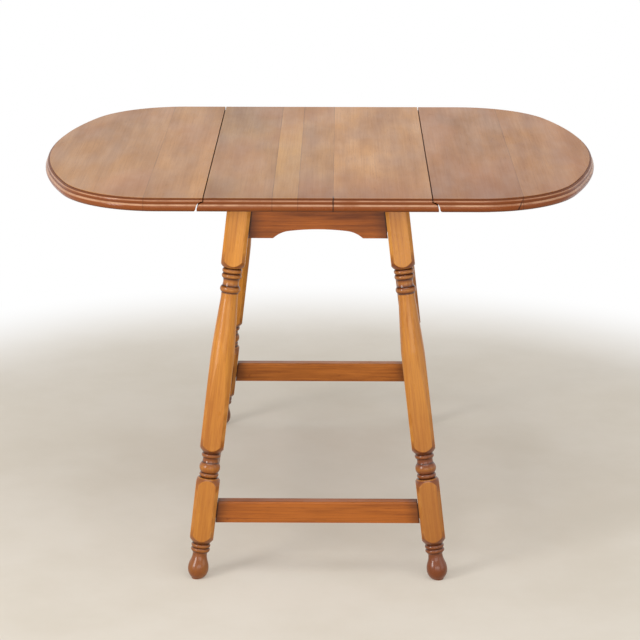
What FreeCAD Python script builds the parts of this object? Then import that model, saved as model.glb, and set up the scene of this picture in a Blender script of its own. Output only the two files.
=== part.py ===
import FreeCAD, Part
import math
import os
import re
import Sketcher
from FreeCAD import Rotation, Vector

# Pembroke table with two drop leaves, in millimetres.
# Origin on the floor under the middle, +X along the open length, front towards -Y.

DIMENSIONS = {
    # whole table
    "table_height": 711, "top_length": 1045, "top_depth": 820, "top_thickness": 24,
    # plan of the top
    "centre_width": 400, "leaf_straight_share": 0.254, "leaf_corner_share": 0.614,
    "left_leaf_seam": 106, "right_leaf_seam": 161,
    "first_board": 120, "second_board": 45, "third_board": 62,
    # moulded edge
    "lower_round": 8, "edge_round": 5.8, "bead_inset": 3.8, "bead_depth": 9.8, "bead_round": 4.5,
    "step_depth": 1.6, "rim_ease": 0.6,
    # rule joint
    "joint_radius": 12, "pin_rise": 4.5, "cove_clearance": 2.4, "joint_gap": 2, "joint_ease": 6,
    # hinges
    "hinge_inset": 140, "hinge_width": 38, "barrel_radius": 4.2, "hinge_pin_radius": 2,
    "pin_clearance": 0.05, "flap_thickness": 2.2, "fixed_flap_reach": 30, "leaf_flap_reach": 45,
    "middle_knuckle": 15.2, "knuckle_clearance": 0.4, "barrel_clearance": 0.6,
    "screw_spread": 11, "fixed_screw_reach": 20, "leaf_screw_reach": 33,
    "screw_radius": 1.8, "screw_head_radius": 3.6, "screw_depth": 13,
    # legs
    "leg_size": 42.5, "leg_chamfer": 6, "leg_splay": 6.8, "leg_side_inset": 61, "leg_end_inset": 71.5,
    "foot_radius": 10, "foot_bulb_radius": 19, "foot_bulb_height": 17.5,
    "ankle_radius": 13, "ankle_height": 46.4, "groove_radius": 15, "bead_radius": 17.4,
    "ball_radius": 18.9, "neck_radius": 14.2,
    "low_beads_start": 50, "low_bead_height": 7.8, "low_block_start": 69.5, "low_block_end": 188,
    "shoulder_height": 26, "shoulder_radius": 18.5, "shoulder_curve_radius": 50,
    "mid_bead_start": 189.5, "mid_bead_height": 8, "ball_height": 19, "mid_neck_height": 9,
    "column_start": 237.5, "taper_start": 292, "column_radius": 26.6,
    "taper_end": 516, "taper_radius": 15.2, "taper_curve_radius": 4900,
    "ring_start": 527, "ring_height": 12, "ring_radius": 18.4, "high_neck_height": 13,
    "high_bead_height": 9.2, "high_bead_radius": 18, "top_block_start": 572.5,
    # aprons
    "apron_height": 61, "apron_thickness": 20, "apron_setback": 6, "arch_length": 160, "arch_rise": 16.5,
    "arch_shoulder": 26, "arch_shoulder_rise": 13, "arch_shoulder_radius": 50, "shoulder_gap": 0.6,
    "apron_tenon_height": 40, "apron_tenon_thickness": 8, "tenon_depth": 14, "tenon_root": 12,
    # stretchers
    "stretcher_bottom": 106.6, "stretcher_height": 40, "stretcher_thickness": 22, "stretcher_round": 3,
    "stretcher_tenon_height": 26, "stretcher_tenon_thickness": 10,
    # corner braces
    "brace_reach": 55, "brace_width": 20, "brace_height": 40, "brace_drop": 8,
    # leaf supports
    "slide_width": 24, "slide_height": 24, "slide_length": 200, "slide_reach": 65, "slide_drop": 17,
    "slide_travel": 115, "nose_length": 13.3, "nose_depth": 15.5, "slide_spread": 150, "slide_offset": 16,
    "slide_clearance": 0.3, "guide_wall": 10, "guide_floor": 8,
    "stop_radius": 4, "stop_inset": 10, "stop_length": 7, "stop_root": 10, "stop_clearance": 0.5,
    "bearer_start": 52, "bearer_length": 18,
    # how far a cutting shape runs past what it cuts
    "overrun": 5,
}

# Lengths worked out from the driving ones.
HALF_DEPTH = "(top_depth / 2)"
HALF_CENTRE = "(centre_width / 2)"
UNDERSIDE = "(table_height - top_thickness)"
PIN_HEIGHT = f"({UNDERSIDE} + pin_rise)"
LEAF_REACH = f"(top_length / 2 - {HALF_CENTRE})"
CORNER_RADIUS = f"(leaf_corner_share * {LEAF_REACH})"
CORNER_X = f"({HALF_CENTRE} + leaf_straight_share * {LEAF_REACH})"
CORNER_Y = f"({HALF_DEPTH} - {CORNER_RADIUS})"
CORNER_TO_END = f"(top_length / 2 - {CORNER_RADIUS})"
END_CENTRE = (f"(({CORNER_TO_END}^2 - {CORNER_X}^2 - {CORNER_Y}^2)"
              f" / (2 * ({CORNER_TO_END} - {CORNER_X})))")
END_RADIUS = f"(top_length / 2 - {END_CENTRE})"
END_ANGLE = f"atan({CORNER_Y} / ({CORNER_X} - {END_CENTRE}))"
CORNER_ANGLE = f"atan(({CORNER_X} - {END_CENTRE}) / {CORNER_Y})"
SPLAY = "tan(leg_splay)"
SLANT = f"sqrt(1 + 2 * {SPLAY}^2)"
LEG_TOP_X = f"({HALF_CENTRE} - leg_side_inset)"
LEG_TOP_Y = f"({HALF_DEPTH} - leg_end_inset)"
FOOT_X = f"({LEG_TOP_X} + {UNDERSIDE} * {SPLAY})"
FOOT_Y = f"({LEG_TOP_Y} + {UNDERSIDE} * {SPLAY})"
LEG_CORNER_RADIUS = "(leg_size / sqrt(2))"
SLIDE_TOP = f"({UNDERSIDE} - slide_drop)"
SLIDE_BOTTOM = f"({SLIDE_TOP} - slide_height)"
STOP_X = f"({HALF_CENTRE} + slide_reach - slide_length + stop_inset)"
APRON_BOTTOM = f"({UNDERSIDE} - apron_height)"
STRETCHER_MIDDLE = "(stretcher_bottom + stretcher_height / 2)"
SIDE_APRON_INSIDE = f"({LEG_TOP_X} + leg_size / 2 - apron_setback - apron_thickness)"
FRONT_APRON_INSIDE = f"({LEG_TOP_Y} + leg_size / 2 - apron_setback - apron_thickness)"
PLATE_BOTTOM = f"({PIN_HEIGHT} - barrel_radius)"
PLATE_TOP = f"({PLATE_BOTTOM} + flap_thickness)"

WORD = re.compile(r"[a-z_]+")
UPRIGHT = Rotation(Vector(1, 0, 0), 90)
ALONG_Y = Rotation(Vector(1, 0, 0), -90)
ACROSS = Rotation(Vector(1, 1, 1), 120)
HALF_TURN = 180
QUARTER_TURN = 90

doc = FreeCAD.newDocument("pembroke_table")
sheet = doc.addObject("Spreadsheet::Sheet", "dims")
for row, (alias, size) in enumerate(DIMENSIONS.items(), start=1):
    sheet.set(f"A{row}", alias)
    sheet.set(f"B{row}", str(size))
    sheet.setAlias(f"B{row}", alias)
doc.recompute()
nodes = []


def linked(text):
    """Point every dimension's name in a formula at its cell."""
    def cell(word):
        return f"dims.{word.group()}" if word.group() in DIMENSIONS else word.group()

    return WORD.sub(cell, text)


def number(text):
    """The present value of a formula."""
    result = sheet.evalExpression(linked(text))
    return float(getattr(result, "Value", result))


def bind(thing, **formulas):
    for prop, text in formulas.items():
        thing.setExpression(prop.replace("__", "."), linked(text))
    return thing


def move(thing, x="0", y="0", z="0"):
    return bind(thing, Placement__Base__x=x, Placement__Base__y=y, Placement__Base__z=z)


def box(name, x, y, z):
    """A box between two formulas along each axis."""
    block = doc.addObject("Part::Box", name)
    sizes = [f"({high}) - ({low})" for low, high in (x, y, z)]
    bind(block, Length=sizes[0], Width=sizes[1], Height=sizes[2])
    return move(block, x[0], y[0], z[0])


def centred(middle, size):
    return (f"{middle} - ({size}) / 2", f"{middle} + ({size}) / 2")


def rod(name, radius, length, x, y, z, rotation=Rotation()):
    bar = doc.addObject("Part::Cylinder", name)
    bar.Placement.Rotation = rotation
    bind(bar, Radius=radius, Height=length)
    return move(bar, x, y, z)


def join(name, pieces, refine=True):
    whole = doc.addObject("Part::MultiFuse", name)
    whole.Shapes = pieces
    whole.Refine = refine
    return whole


def cut(name, base, tool):
    rest = doc.addObject("Part::Cut", name)
    rest.Base = base
    rest.Tool = tool
    return rest


def overlap(name, base, tool):
    shared = doc.addObject("Part::Common", name)
    shared.Base = base
    shared.Tool = tool
    return shared


def turned(name, piece, angle):
    """The same piece, turned about the table's upright axis."""
    group = doc.addObject("Part::Compound", name)
    group.Links = [piece]
    group.Placement.Rotation = Rotation(Vector(0, 0, 1), angle)
    return group


def node(piece, label):
    piece.Label = label
    nodes.append(piece)
    return piece


def outline(name, path):
    """A closed sketch. Each step is a point, and the radius and side of the arc that leaves it, if any."""
    sketch = doc.addObject("Sketcher::SketchObject", name)
    points = [Vector(number(step[0]), number(step[1]), 0) for step in path]
    ends = []
    for index, step in enumerate(path):
        start = points[index]
        stop = points[(index + 1) % len(points)]
        if len(step) == 2:
            sketch.addGeometry(Part.LineSegment(start, stop))
            ends.append((1, 2))
            continue
        radius, side = number(step[2]), step[3]
        chord = stop - start
        reach = math.sqrt(max(radius ** 2 - (chord.Length / 2) ** 2, 0))
        normal = Vector(-chord.y, chord.x, 0).normalize()
        centre = (start + stop) * 0.5 + normal * (side * reach)
        first, last = (start, stop) if side > 0 else (stop, start)
        angles = [math.atan2(end.y - centre.y, end.x - centre.x) for end in (first, last)]
        sketch.addGeometry(Part.ArcOfCircle(Part.Circle(centre, Vector(0, 0, 1), radius), *angles))
        ends.append((1, 2) if side > 0 else (2, 1))
    for index, step in enumerate(path):
        follower = (index + 1) % len(path)
        meeting = (index, ends[index][1], follower, ends[follower][0])
        sketch.addConstraint(Sketcher.Constraint("Coincident", *meeting))
        places = (("DistanceX", step[0], points[index].x), ("DistanceY", step[1], points[index].y))
        for kind, text, place in places:
            key = sketch.addConstraint(Sketcher.Constraint(kind, -1, 1, index, ends[index][0], place))
            sketch.setExpression(f"Constraints[{key}]", linked(text))
        if len(step) > 2:
            key = sketch.addConstraint(Sketcher.Constraint("Radius", index, number(step[2])))
            sketch.setExpression(f"Constraints[{key}]", linked(step[2]))
    return sketch


def extruded(name, sketch, direction, forward, backward="0"):
    solid = doc.addObject("Part::Extrusion", name)
    solid.Base = sketch
    solid.DirMode = "Custom"
    solid.Dir = direction
    solid.Solid = True
    return bind(solid, LengthFwd=forward, LengthRev=backward)


def revolved(name, sketch, angle):
    solid = doc.addObject("Part::Revolution", name)
    solid.Source = sketch
    solid.Axis = Vector(0, 0, 1)
    solid.Solid = True
    return bind(solid, Angle=angle)


def edge_profile(name, reach, rotation):
    """Half the section of the top, from the middle out to its moulded edge."""
    bead_top = "(table_height - step_depth)"
    ledge = "(table_height - bead_depth)"
    meet = f"{ledge} - edge_round + sqrt(edge_round^2 - (edge_round - bead_inset)^2)"
    rim = f"{reach} - bead_inset - bead_round"
    sketch = outline(name, [
        ("0", UNDERSIDE),
        (f"{reach} - lower_round", UNDERSIDE, "lower_round", 1),
        (reach, f"{UNDERSIDE} + lower_round"),
        (reach, f"{ledge} - edge_round", "edge_round", 1),
        (f"{reach} - bead_inset", meet),
        (f"{reach} - bead_inset", f"{bead_top} - bead_round", "bead_round", 1),
        (rim, bead_top),
        (rim, "table_height - rim_ease"),
        (f"{rim} - rim_ease", "table_height"),
        ("0", "table_height"),
    ])
    sketch.Placement.Rotation = rotation
    return sketch


def straight_slab(name, start, stop):
    """The top between two places along X, with both long edges moulded."""
    half = extruded(f"{name}_half", edge_profile(f"{name}_profile", HALF_DEPTH, ACROSS), Vector(1, 0, 0),
                    f"{stop} - ({start})")
    move(half, x=start)
    other = doc.addObject("Part::Mirroring", f"{name}_other_half")
    other.Source = half
    other.Normal = Vector(0, 1, 0)
    return join(name, [half, other])


def centre_slab():
    """The fixed middle of the top, with the round half of a rule joint along both sides."""
    lip = f"({HALF_CENTRE} + joint_radius)"
    along = (f"-{HALF_DEPTH} - overrun", f"{HALF_DEPTH} + overrun")
    keep = [
        box("joint_middle", (f"-{HALF_CENTRE}", HALF_CENTRE), along,
            (f"{UNDERSIDE} - overrun", "table_height + overrun")),
        box("joint_lips", (f"-{lip}", lip), along, (f"{UNDERSIDE} - overrun", PIN_HEIGHT)),
    ]
    for name, place in (("joint_round_left", f"-{HALF_CENTRE}"), ("joint_round_right", HALF_CENTRE)):
        length = "top_depth + 2 * overrun"
        keep.append(rod(name, "joint_radius", length, place, along[0], PIN_HEIGHT, ALONG_Y))
    return overlap("centre_slab", straight_slab("centre_blank", f"-{lip}", lip), join("joint_form", keep))


def leaf_slab():
    """One leaf lying open on the right, with the hollow half of the rule joint."""
    strip = straight_slab("leaf_strip", HALF_CENTRE, CORNER_X)
    corner = revolved("leaf_corner", edge_profile("leaf_corner_profile", CORNER_RADIUS, UPRIGHT),
                      CORNER_ANGLE)
    bind(corner, Placement__Rotation__Angle=END_ANGLE)
    move(corner, CORNER_X, CORNER_Y)
    other = doc.addObject("Part::Mirroring", "leaf_other_corner")
    other.Source = corner
    other.Normal = Vector(0, 1, 0)
    end_profile = edge_profile("leaf_end_profile", END_RADIUS, UPRIGHT)
    sector = revolved("leaf_sector", end_profile, f"2 * {END_ANGLE}")
    sector.Placement.Rotation = Rotation(Vector(0, 0, -1), 1)
    bind(sector, Placement__Rotation__Angle=END_ANGLE)
    move(sector, END_CENTRE)
    beyond = box("leaf_beyond", (CORNER_X, "top_length"), ("-top_depth", "top_depth"),
                 ("0", "2 * table_height"))
    blank = join("leaf_blank", [strip, corner, other, overlap("leaf_end", sector, beyond)])
    cove = "(joint_radius + cove_clearance)"
    along = (f"-{HALF_DEPTH} - overrun", f"{HALF_DEPTH} + overrun")
    hollow = join("joint_hollow", [
        rod("joint_cove", cove, "top_depth + 2 * overrun", HALF_CENTRE, along[0], PIN_HEIGHT, ALONG_Y),
        box("joint_slit", (f"{HALF_CENTRE} - overrun", f"{HALF_CENTRE} + joint_gap"), along,
            (PIN_HEIGHT, "table_height + overrun")),
        joint_foot(cove),
    ])
    return cut("leaf_slab", blank, hollow)


def joint_foot(cove):
    """The room below the pin in the hollow half of the joint, wider towards the underside."""
    sketch = outline("joint_foot_section", [
        (f"{HALF_CENTRE} - overrun", f"{UNDERSIDE} - overrun"),
        (f"{HALF_CENTRE} + {cove} + joint_ease", f"{UNDERSIDE} - overrun"),
        (f"{HALF_CENTRE} + {cove}", PIN_HEIGHT),
        (f"{HALF_CENTRE} - overrun", PIN_HEIGHT),
    ])
    sketch.Placement.Rotation = UPRIGHT
    reach = f"{HALF_DEPTH} + overrun"
    return extruded("joint_foot", sketch, Vector(0, 1, 0), reach, reach)


def screw(name, x, y):
    """A countersunk screw, driven upwards through a hinge flap."""
    head = doc.addObject("Part::Cone", f"{name}_head")
    bind(head, Radius1="screw_head_radius", Radius2="screw_radius", Height="flap_thickness")
    move(head, x, y, PLATE_BOTTOM)
    shank = rod(f"{name}_shank", "screw_radius", "screw_depth", x, y, PLATE_TOP)
    return join(name, [head, shank])


def screw_pair(name, x, y):
    ends = (("first", -1), ("second", 1))
    return join(name, [screw(f"{name}_{end}", x, f"{y} + {sign} * screw_spread") for end, sign in ends])


def hinge(name, y):
    """The parts of one hinge on the right-hand joint, and the room that it needs in the wood."""
    whole = centred(y, "hinge_width")
    middle = centred(y, "middle_knuckle")
    notch = centred(y, "middle_knuckle + 2 * knuckle_clearance")
    plate = (PLATE_BOTTOM, PLATE_TOP)
    neck = "(barrel_radius + barrel_clearance)"
    bore = rod(f"{name}_bore", "hinge_pin_radius + pin_clearance", "hinge_width + 2 * overrun",
               HALF_CENTRE, f"{whole[0]} - overrun", PIN_HEIGHT, ALONG_Y)
    screws = {
        "fixed": screw_pair(f"{name}_fixed_screws", f"{HALF_CENTRE} - fixed_screw_reach", y),
        "leaf": screw_pair(f"{name}_leaf_screws", f"{HALF_CENTRE} + leaf_screw_reach", y),
    }
    barrel = rod(f"{name}_barrel", "barrel_radius", "hinge_width",
                 HALF_CENTRE, whole[0], PIN_HEIGHT, ALONG_Y)
    knuckle = rod(f"{name}_knuckle", "barrel_radius", "middle_knuckle",
                  HALF_CENTRE, middle[0], PIN_HEIGHT, ALONG_Y)
    pin = rod(f"{name}_pin", "hinge_pin_radius", "hinge_width",
              HALF_CENTRE, whole[0], PIN_HEIGHT, ALONG_Y)
    gap = box(f"{name}_gap", (f"{HALF_CENTRE} - {neck}", f"{HALF_CENTRE} + {neck}"), notch,
              (f"{UNDERSIDE} - overrun", f"{PIN_HEIGHT} + barrel_radius + overrun"))
    fixed_plate = box(f"{name}_fixed_plate", (f"{HALF_CENTRE} - fixed_flap_reach", HALF_CENTRE),
                      whole, plate)
    fixed = cut(f"{name}_fixed_blank", join(f"{name}_fixed_form", [fixed_plate, barrel]), gap)
    leaf_neck = box(f"{name}_neck", (HALF_CENTRE, f"{HALF_CENTRE} + {neck}"), middle, plate)
    leaf_plate = box(f"{name}_leaf_plate", (f"{HALF_CENTRE} + {neck}", f"{HALF_CENTRE} + leaf_flap_reach"),
                     whole, plate)
    leaf_form = join(f"{name}_leaf_form", [knuckle, leaf_neck, leaf_plate])
    holes = {flap: join(f"{name}_{flap}_holes", [bore, pair], False) for flap, pair in screws.items()}
    return {
        "fixed_flap": cut(f"{name}_fixed_cut", fixed, holes["fixed"]),
        "leaf_flap": cut(f"{name}_leaf_cut", leaf_form, holes["leaf"]),
        "pin": pin,
        "fixed_screws": screws["fixed"],
        "leaf_screws": screws["leaf"],
    }


def hinge_room(name, y):
    """What is let into the fixed top for one hinge, with room for both flaps and the barrel."""
    length = "hinge_width + 2 * knuckle_clearance"
    wide = centred(y, length)
    room = "(barrel_radius + barrel_clearance)"
    return [
        box(f"{name}_seat", (f"{HALF_CENTRE} - fixed_flap_reach", HALF_CENTRE), centred(y, "hinge_width"),
            (f"{UNDERSIDE} - overrun", PLATE_TOP)),
        box(f"{name}_passage", (HALF_CENTRE, f"{HALF_CENTRE} + joint_radius + overrun"), wide,
            (f"{UNDERSIDE} - overrun", f"{PLATE_TOP} + barrel_clearance")),
        rod(f"{name}_hollow", room, length, HALF_CENTRE, wide[0], PIN_HEIGHT, ALONG_Y),
        box(f"{name}_mouth", (f"{HALF_CENTRE} - {room}", f"{HALF_CENTRE} + {room}"), wide,
            (f"{UNDERSIDE} - overrun", PIN_HEIGHT)),
        screw_pair(f"{name}_pilots", f"{HALF_CENTRE} - fixed_screw_reach", y),
    ]


def leaf_room(name, y):
    """What is let into the leaf for one hinge flap."""
    return [
        box(f"{name}_seat", (HALF_CENTRE, f"{HALF_CENTRE} + leaf_flap_reach"), centred(y, "hinge_width"),
            (f"{UNDERSIDE} - overrun", PLATE_TOP)),
        screw_pair(f"{name}_pilots", f"{HALF_CENTRE} + leaf_screw_reach", y),
    ]


HINGE_PLACES = (("front", f"(hinge_inset - {HALF_DEPTH})"), ("back", f"({HALF_DEPTH} - hinge_inset)"))
SLIDE_PLACES = (("front", "(slide_offset - slide_spread)"), ("back", "(slide_spread + slide_offset)"))
SIDES = (("right", 0), ("left", HALF_TURN))


def centre_boards():
    """The four boards of the fixed top, the outer two cut for the hinges."""
    slab = centre_slab()
    lip = f"({HALF_CENTRE} + joint_radius + overrun)"
    seams = [f"-{lip}"]
    start = f"-{HALF_CENTRE}"
    for width in ("first_board", "second_board", "third_board"):
        start = f"{start} + {width}"
        seams.append(start)
    seams.append(lip)
    boards = []
    for index in range(len(seams) - 1):
        name = f"centre_board_{index + 1}"
        strip = box(f"{name}_strip", (seams[index], seams[index + 1]), ("-top_depth", "top_depth"),
                    ("0", "2 * table_height"))
        boards.append(overlap(f"{name}_blank", slab, strip))
    for (side, angle), place in zip(SIDES, (-1, 0)):
        rooms = []
        for end, y in HINGE_PLACES:
            rooms += hinge_room(f"{side}_{end}_room", y)
        tool = turned(f"{side}_hinge_rooms", join(f"{side}_rooms", rooms, False), angle)
        boards[place] = cut(f"{side}_board_cut", boards[place], tool)
    for index, board in enumerate(boards):
        node(board, f"centre_board_{index + 1}")


def leaf(side, angle, slab):
    """The boards of a leaf, its hinges, bearers and slides, made on the right and turned into place."""
    seam = f"({HALF_CENTRE} + {side}_leaf_seam)"
    rooms = []
    for end, y in HINGE_PLACES:
        rooms += leaf_room(f"{side}_{end}_leaf_room", y)
    solid = cut(f"{side}_leaf_cut", slab, join(f"{side}_leaf_rooms", rooms, False))
    for part, limits in (("inner", (HALF_CENTRE, seam)), ("outer", (seam, "top_length"))):
        strip = box(f"{side}_{part}_strip", limits, ("-top_depth", "top_depth"), ("0", "2 * table_height"))
        board = overlap(f"{side}_leaf_{part}_blank", solid, strip)
        node(turned(f"{side}_leaf_{part}", board, angle), f"{side}_leaf_{part}_board")
    ends = dict(zip(("front", "back"), ("front", "back") if angle == 0 else ("back", "front")))
    for end, y in HINGE_PLACES:
        for part, piece in hinge(f"{side}_{end}_set", y).items():
            node(turned(f"{side}_{end}_{part}", piece, angle), f"{side}_{ends[end]}_hinge_{part}")
    for end, y in SLIDE_PLACES:
        for part, piece in leaf_support(f"{side}_{end}", y).items():
            node(turned(f"{side}_{end}_{part}_turned", piece, angle), f"{side}_{ends[end]}_{part}")


def stop_pin(name, y):
    return rod(name, "stop_radius", "stop_length + stop_root", STOP_X, y, f"{SLIDE_BOTTOM} - stop_length")


def leaf_support(name, y):
    """A slide that carries the leaf, its stop pin, and the bearer above its nose."""
    tip = f"({HALF_CENTRE} + slide_reach)"
    side_view = outline(f"{name}_slide_outline", [
        (f"{tip} - slide_length", SLIDE_BOTTOM),
        (tip, SLIDE_BOTTOM),
        (tip, f"{SLIDE_TOP} - nose_depth"),
        (f"{tip} - nose_length", SLIDE_TOP),
        (f"{tip} - slide_length", SLIDE_TOP),
    ])
    side_view.Placement.Rotation = UPRIGHT
    bar = extruded(f"{name}_slide_bar", side_view, Vector(0, 1, 0), "slide_width / 2", "slide_width / 2")
    move(bar, y=y)
    start = f"{HALF_CENTRE} + bearer_start"
    along = (start, f"{start} + bearer_length")
    upright = (f"{SLIDE_TOP} + slide_clearance", UNDERSIDE)
    return {
        "slide": cut(f"{name}_slide_cut", bar, stop_pin(f"{name}_pin_hole", y)),
        "slide_stop": stop_pin(f"{name}_stop_pin", y),
        "bearer": box(f"{name}_bearer_block", along, centred(y, "slide_width"), upright),
    }


def channel(name, y, x):
    """The room for one slide, with its running clearance."""
    return box(name, x, centred(y, "slide_width + 2 * slide_clearance"),
               (f"{SLIDE_BOTTOM} - slide_clearance", f"{SLIDE_TOP} + slide_clearance"))


def slide_guide(end, angle):
    """A block under the top with two tunnels, each with a slot below that limits its slide."""
    width = "2 * slide_offset + slide_width + 2 * guide_wall"
    floor = f"({SLIDE_BOTTOM} - slide_clearance - guide_floor)"
    block = box(f"guide_{end}_block", (f"-{SIDE_APRON_INSIDE}", SIDE_APRON_INSIDE),
                centred("slide_spread", width), (floor, UNDERSIDE))
    play = "(stop_radius + stop_clearance)"
    tools = []
    for side, sign in (("near", 1), ("far", -1)):
        y = f"slide_spread + {sign} * slide_offset"
        tools.append(channel(f"guide_{end}_{side}_tunnel", y, ("-top_length", "top_length")))
        limits = (f"{STOP_X} - slide_travel - {play}", f"{STOP_X} + {play}")
        if sign < 0:
            limits = (f"-{STOP_X} - {play}", f"slide_travel + {play} - {STOP_X}")
        tools.append(box(f"guide_{end}_{side}_slot", limits, centred(y, f"2 * {play}"),
                         (f"{floor} - overrun", SLIDE_BOTTOM)))
    solid = cut(f"guide_{end}_cut", block, join(f"guide_{end}_tools", tools, False))
    node(turned(f"guide_{end}", solid, angle), f"slide_guide_{end}")


def bulge_radius(height, swell):
    """The radius of an arc over a height that swells by so much at its middle."""
    return f"((({height}) * {SLANT} / 2)^2 + ({swell})^2) / (2 * ({swell}))"


def along_leg(height):
    """A height above the floor, measured along the sloping leg."""
    return f"({height}) * {SLANT}"


def leg_turning():
    """The turned shape of a leg about its own axis, from below the floor to above the rails."""
    swell = "(foot_bulb_radius - foot_radius)"
    bulb = f"({swell}^2 + ({along_leg('foot_bulb_height')})^2) / (2 * {swell})"
    waist = "((foot_bulb_radius - ankle_radius) / 2)"
    calf = along_leg("(ankle_height - foot_bulb_height) / 2")
    ogee = f"({waist}^2 + ({calf})^2) / (2 * {waist})"
    low_bead = bulge_radius("low_bead_height", "bead_radius - groove_radius")
    mid_bead = bulge_radius("mid_bead_height", "bead_radius - groove_radius")
    ball = bulge_radius("ball_height", "ball_radius - groove_radius")
    mid_neck = bulge_radius("mid_neck_height", "groove_radius - neck_radius")
    ring = bulge_radius("ring_height", "ring_radius - taper_radius")
    high_neck = bulge_radius("high_neck_height", "taper_radius - neck_radius")
    high_bead = bulge_radius("high_bead_height", "high_bead_radius - taper_radius")
    path = [
        ("0", "-overrun"),
        ("foot_radius", "-overrun"),
        ("foot_radius", "0", bulb, 1),
        ("foot_bulb_radius", along_leg("foot_bulb_height"), ogee, 1),
        (f"ankle_radius + {waist}", along_leg("(foot_bulb_height + ankle_height) / 2"), ogee, -1),
        ("ankle_radius", along_leg("ankle_height")),
        ("groove_radius", along_leg("low_beads_start"), low_bead, 1),
        ("groove_radius", along_leg("low_beads_start + low_bead_height"), low_bead, 1),
        ("groove_radius", along_leg("low_beads_start + 2 * low_bead_height")),
        ("shoulder_radius", along_leg("low_block_start"), "shoulder_curve_radius", 1),
        (LEG_CORNER_RADIUS, along_leg("low_block_start + shoulder_height")),
        (LEG_CORNER_RADIUS, along_leg("low_block_end - shoulder_height"), "shoulder_curve_radius", 1),
        ("shoulder_radius", along_leg("low_block_end")),
    ]
    height = "mid_bead_start"
    for arc, side, rise in ((mid_bead, 1, "mid_bead_height"), (ball, 1, "ball_height"),
                            (mid_neck, -1, "mid_neck_height"), (mid_bead, 1, "mid_bead_height")):
        path.append(("groove_radius", along_leg(height), arc, side))
        height = f"{height} + {rise}"
    path += [
        ("groove_radius", along_leg(height)),
        ("shoulder_radius", along_leg("column_start"), "shoulder_curve_radius", 1),
        (LEG_CORNER_RADIUS, along_leg("column_start + shoulder_height")),
        ("column_radius", along_leg("taper_start"), "taper_curve_radius", 1),
        ("taper_radius", along_leg("taper_end")),
    ]
    height = "ring_start"
    for arc, side, rise in ((ring, 1, "ring_height"), (high_neck, -1, "high_neck_height"),
                            (high_bead, 1, "high_bead_height"), (high_bead, 1, "high_bead_height")):
        path.append(("taper_radius", along_leg(height), arc, side))
        height = f"{height} + {rise}"
    path += [
        ("taper_radius", along_leg(height)),
        ("shoulder_radius", along_leg("top_block_start"), "shoulder_curve_radius", 1),
        (LEG_CORNER_RADIUS, along_leg("top_block_start + shoulder_height")),
        (LEG_CORNER_RADIUS, f"{along_leg(UNDERSIDE)} + 2 * overrun"),
        ("0", f"{along_leg(UNDERSIDE)} + 2 * overrun"),
    ]
    sketch = outline("leg_profile", path)
    sketch.Placement.Rotation = UPRIGHT
    turning = doc.addObject("Part::Revolution", "leg_turning")
    turning.Source = sketch
    turning.Axis = Vector(0, 0, 1)
    turning.Angle = 2 * HALF_TURN
    turning.Solid = True
    return turning


def square_bar(name, size):
    half = f"({size}) / 2"
    limits = (f"-{half}", half)
    return box(name, limits, limits, ("-2 * overrun", f"{along_leg(UNDERSIDE)} + 3 * overrun"))


def leg_blank():
    """A leg about its own axis: the turning, squared and chamfered where it is thickest."""
    corners = doc.addObject("Part::Compound", "leg_corners")
    corners.Links = [square_bar("leg_diagonal", "(leg_size - leg_chamfer) * sqrt(2)")]
    corners.Placement.Rotation = Rotation(Vector(0, 0, 1), QUARTER_TURN / 2)
    bar = overlap("leg_bar", square_bar("leg_square", "leg_size"), corners)
    return overlap("leg_blank", leg_turning(), bar)


def leaned(name, piece, across, along):
    """A piece made about a leg's axis, leaned into place at one corner of the table."""
    leg = doc.addObject("Part::Compound", name)
    leg.Links = [piece]
    leg.Placement.Rotation = Rotation(Vector(along, -across, 0), 1)
    bind(leg, Placement__Rotation__Angle=f"atan(sqrt(2) * {SPLAY})")
    return move(leg, f"{across} * {FOOT_X}", f"{along} * {FOOT_Y}")


CORNERS = (("front_left", -1, -1), ("front_right", 1, -1), ("back_left", -1, 1), ("back_right", 1, 1))
HEADINGS = (("front", 0), ("right", QUARTER_TURN), ("back", HALF_TURN), ("left", HALF_TURN + QUARTER_TURN))


def leg_axis(top, height):
    """Where a leg's axis is, across or along the table, at a height."""
    return f"({top} + ({UNDERSIDE} - ({height})) * {SPLAY})"


def tenons(name, end, middle, thickness, height_middle, height):
    """The two tenons of a rail that lies along X."""
    root = f"({end} - tenon_depth - tenon_root)"
    across = centred(middle, thickness)
    upright = centred(height_middle, height)
    pair = []
    for side, along in (("low", (f"-{end}", f"-{root}")), ("high", (root, end))):
        pair.append(box(f"{name}_{side}_tenon", along, across, upright))
    return pair


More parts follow.
